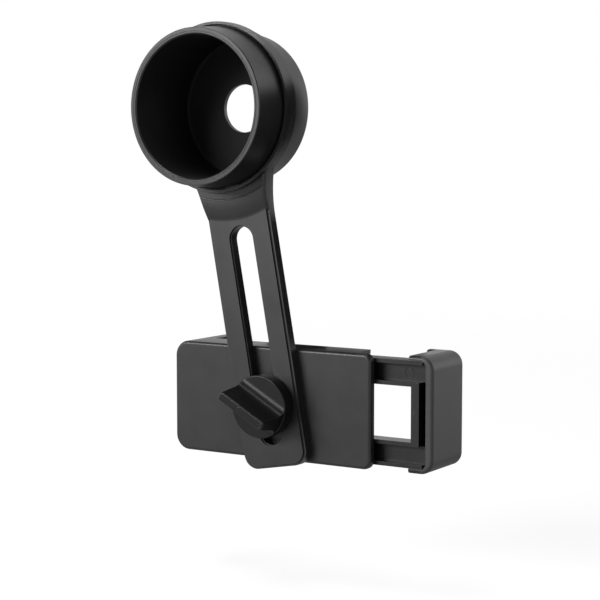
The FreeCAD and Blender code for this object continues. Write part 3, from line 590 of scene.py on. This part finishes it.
# The knob: one moulding in black nylon, made round the bolt's head, a disc with a wing across it
# whose feet are hollowed for the fingers. Thumbs polish it, so it is smoother than its
# neighbours.
KNOB_TINT = (0.008, 0.008, 0.0083, 1)
KNOB_ANGLE = 29.0
KNOB_LOW, KNOB_HIGH = (Vector(corner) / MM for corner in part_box("knob"))
KNOB_CENTRE = (KNOB_LOW + KNOB_HIGH) / 2
KNOB_EASE = 0.2
WING_FRONT = KNOB_LOW.y
WING_ALONG = Vector((math.cos(math.radians(KNOB_ANGLE)), 0, -math.sin(math.radians(KNOB_ANGLE))))
WING_END_EASE = 0.45
WING_END_FROM = 8  # along the wing, from the knob's middle
WING_END_DEEP = 6  # from the wing's front to where its feet begin
PIN_MARKS = (-0.9, 8)  # places along the wing
PIN_RADIUS = 0.6
PIN_WIRE = 0.08
PIN_SUNK = 0.03  # how deep the middle of the ring's wire lies


def at_wing_end(middle):
    at_end = abs((middle - KNOB_CENTRE).dot(WING_ALONG)) > WING_END_FROM
    return at_end and middle.y < WING_FRONT + WING_END_DEEP


def on_wing(along):
    place = KNOB_CENTRE + WING_ALONG * along
    place.y = WING_FRONT + PIN_SUNK
    return place


knob_black = plastic("knob_black", KNOB_TINT, gloss=0.33, pebble=0.24, relief=0.01, mirror=0.24)
eased("knob", "knob_moulding", "knob", knob_black, KNOB_EASE,
      wider=(WING_END_EASE, at_wing_end), free=True,
      rings=[(on_wing(along), PIN_RADIUS, PIN_WIRE) for along in PIN_MARKS])


# The bolt, its washer and nut, and the cover's screws: bought-in steel with bright zinc plate
# and the fine marks of turning. The bolt's head is moulded into the knob, the nut sits in a
# pocket of the housing, and the screws go into the housing's posts.
ZINC_TINT = (0.6, 0.61, 0.62, 1)


def plated_steel(name, tint, gloss, mark):
    """Bright steel with cloudy gloss and fine scratches, whose spacing is mark."""
    cloud_scale = 400  # per metre
    scratch_relief = 0.004
    material = bpy.data.materials.new(name)
    material.use_nodes = True
    nodes, links = material.node_tree.nodes, material.node_tree.links
    shader = nodes["Principled BSDF"]
    shader.inputs["Metallic"].default_value = 1
    place = nodes.new("ShaderNodeTexCoord")
    stretched = nodes.new("ShaderNodeMapping")
    stretched.inputs["Scale"].default_value = (1 / MM, 6 / MM, 1 / MM)
    links.new(place.outputs["Object"], stretched.inputs["Vector"])
    scratches = nodes.new("ShaderNodeTexNoise")
    scratches.inputs["Scale"].default_value = 1 / mark
    scratches.inputs["Detail"].default_value = 3
    links.new(stretched.outputs[0], scratches.inputs["Vector"])
    clouds = nodes.new("ShaderNodeTexNoise")
    clouds.inputs["Scale"].default_value = cloud_scale
    clouds.inputs["Detail"].default_value = 2
    links.new(place.outputs["Object"], clouds.inputs["Vector"])
    shine = nodes.new("ShaderNodeMapRange")
    shine.inputs["To Min"].default_value = gloss - 0.08
    shine.inputs["To Max"].default_value = gloss + 0.14
    links.new(scratches.outputs["Fac"], shine.inputs["Value"])
    links.new(shine.outputs[0], shader.inputs["Roughness"])
    colour = nodes.new("ShaderNodeMix")
    colour.data_type = "RGBA"
    colour.inputs["A"].default_value = tint
    colour.inputs["B"].default_value = tuple(0.72 * c for c in tint[:3]) + (1,)
    links.new(clouds.outputs["Fac"], colour.inputs["Factor"])
    links.new(colour.outputs["Result"], shader.inputs["Base Color"])
    bump = nodes.new("ShaderNodeBump")
    bump.inputs["Distance"].default_value = scratch_relief * MM
    links.new(scratches.outputs["Fac"], bump.inputs["Height"])
    links.new(bump.outputs["Normal"], shader.inputs["Normal"])
    return material


def finish_nodes(material, *names):
    for name in names:
        for slot in frame["nodes"][name].material_slots:
            slot.material = material


zinc = plated_steel("zinc_plate", ZINC_TINT, gloss=0.3, mark=0.3)
finish_nodes(zinc, "knob_bolt", "knob_washer", "captive_nut", "cover_screw_1", "cover_screw_2",
             "cover_screw_3", "cover_screw_4")


# The clamp's housing and cover: the housing is one shell moulded in black nylon, with the fixed
# jaw at its left end. The cover is a flat moulded plate, screwed on behind the sliding frame.
HOUSING_TINT = (0.013, 0.013, 0.0134, 1)
HOUSING_EASE = 0.22
COVER_EASE = 0.2
housing_black = plastic("housing_black", HOUSING_TINT, gloss=0.4, pebble=0.34, relief=0.024,
                        cloud=0.4)
eased("clamp_housing", "housing_moulding", "clamp", housing_black, HOUSING_EASE)
cover_black = plastic("cover_black", HOUSING_TINT, gloss=0.42, pebble=0.3)
eased("back_cover", "cover_plate", "clamp", cover_black, COVER_EASE)


# The sliding jaw: one moulding in black nylon, the jaw and a frame of two channelled rails that
# slides inside the housing. The jaw is blasted like the housing, and its frame is left smoother,
# with a darker tint that is painted shade from the housing and the jaw around it.
JAW_TINT = (0.038, 0.038, 0.0386, 1)
# The frame's darker tint is painted shade from the housing and the jaw around it.
FRAME_SHADE_TINT = (0.011, 0.011, 0.0113, 1)
JAW_EASE = 0.22
JAW_FROM = 65.6
BAR_PIN_MARK = ((63.71, 21.12, -90), 0.28, 0.1)
jaw_black = plastic("jaw_black", JAW_TINT, gloss=0.48, pebble=0.32, relief=0.018)
frame_shaded_black = plastic("frame_shaded_black", FRAME_SHADE_TINT, gloss=0.36, pebble=0.4, relief=0.006, mirror=0.4)
jaw = eased("sliding_jaw", "jaw_moulding", "jaw", jaw_black, JAW_EASE,
            rings=[BAR_PIN_MARK])

# The frame ends where the jaw begins, and from there on takes the painted shade.
jaw.data.materials.append(frame_shaded_black)
for face in jaw.data.polygons:
    if face.center.x / MM < JAW_FROM:
        face.material_index = 1


# The rubber pads: matt rubber, a flat sheet on the cover and a strip with upright ridges in each
# jaw. They are moulded and then glued in place.
RUBBER_TINT = (0.028, 0.028, 0.029, 1)
SHEET_EASE = 0.25
STRIP_EASE = 0.15
rubber = plastic("pad_rubber", RUBBER_TINT, gloss=0.72, pebble=0.4, relief=0.03, cloud=0.2,
                 rub_and_highlight=0.1, dust=0.35)
eased("back_pad", "back_pad_sheet", "clamp", rubber, SHEET_EASE)
eased("fixed_jaw_pad", "fixed_pad_strip", "clamp", rubber, STRIP_EASE)
eased("sliding_jaw_pad", "sliding_pad_strip", "jaw", rubber, STRIP_EASE)


# The springs: two tension springs, close wound from drawn wire and pulled out between a peg in
# the housing and one in the sliding frame, with an eye bent at each end.
WIRE_TINT = (0.5, 0.5, 0.51, 1)
WIRE = 0.35
WIRE_SIDES = 8
TURN_STEPS = 18
EYE_STEPS = 32
COIL_RADIUS = 1.125  # to the wire's middle
EYE_RADIUS = 1.35
SPRING_PITCH = 1.02
spring_steel = plated_steel("drawn_wire", WIRE_TINT, gloss=0.28, mark=0.15)


def coil_spring(name, node):
    """Wound from a small circle of wire, with a closed eye round each peg.

    The node's ends are the outsides of the eyes.
    """
    low, high = (Vector(corner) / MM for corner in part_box(node))
    _, deep, up = (low + high) / 2
    pegs = low.x + WIRE / 2 + EYE_RADIUS, high.x - WIRE / 2 - EYE_RADIUS
    first, last = pegs[0] + EYE_RADIUS, pegs[1] - EYE_RADIUS
    count = int((last - first) / SPRING_PITCH)
    bpy.ops.object.select_all(action="DESELECT")
    bpy.ops.mesh.primitive_circle_add(
        vertices=WIRE_SIDES, radius=WIRE / 2 * MM, fill_type="NOTHING",
        location=(0, 0, COIL_RADIUS * MM), rotation=(math.radians(90), 0, 0))
    wire = bpy.context.object
    wire.name = wire.data.name = name
    bpy.ops.object.transform_apply(location=True, rotation=True, scale=True)
    winding = wire.modifiers.new("winding", "SCREW")
    winding.axis = "X"
    winding.steps = winding.render_steps = TURN_STEPS
    winding.iterations = count
    winding.screw_offset = (last - first) / count * MM
    bpy.ops.object.modifier_apply(modifier="winding")
    bpy.ops.object.mode_set(mode="EDIT")
    bpy.ops.mesh.select_all(action="SELECT")
    bpy.ops.transform.translate(value=(first * MM, deep * MM, up * MM))
    bpy.ops.mesh.select_all(action="DESELECT")
    bpy.ops.object.mode_set(mode="OBJECT")
    for peg in pegs:
        bpy.ops.object.select_all(action="DESELECT")
        bpy.ops.mesh.primitive_torus_add(
            major_radius=EYE_RADIUS * MM, minor_radius=WIRE / 2 * MM, major_segments=EYE_STEPS,
            minor_segments=WIRE_SIDES, location=(peg * MM, deep * MM, up * MM),
            rotation=(math.radians(90), 0, 0))
        wire.select_set(True)
        bpy.context.view_layer.objects.active = wire
        bpy.ops.object.join()
    bpy.ops.object.mode_set(mode="EDIT")
    bpy.ops.mesh.select_all(action="SELECT")
    bpy.ops.mesh.fill_holes(sides=WIRE_SIDES)
    bpy.ops.mesh.normals_make_consistent(inside=False)
    bpy.ops.object.mode_set(mode="OBJECT")
    bpy.ops.object.shade_smooth_by_angle(angle=math.radians(SMOOTH_UP_TO))
    wire.data.materials.append(spring_steel)
    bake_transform(wire)
    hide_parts(node)


coil_spring("coil_upper", "spring_upper")
coil_spring("coil_lower", "spring_lower")
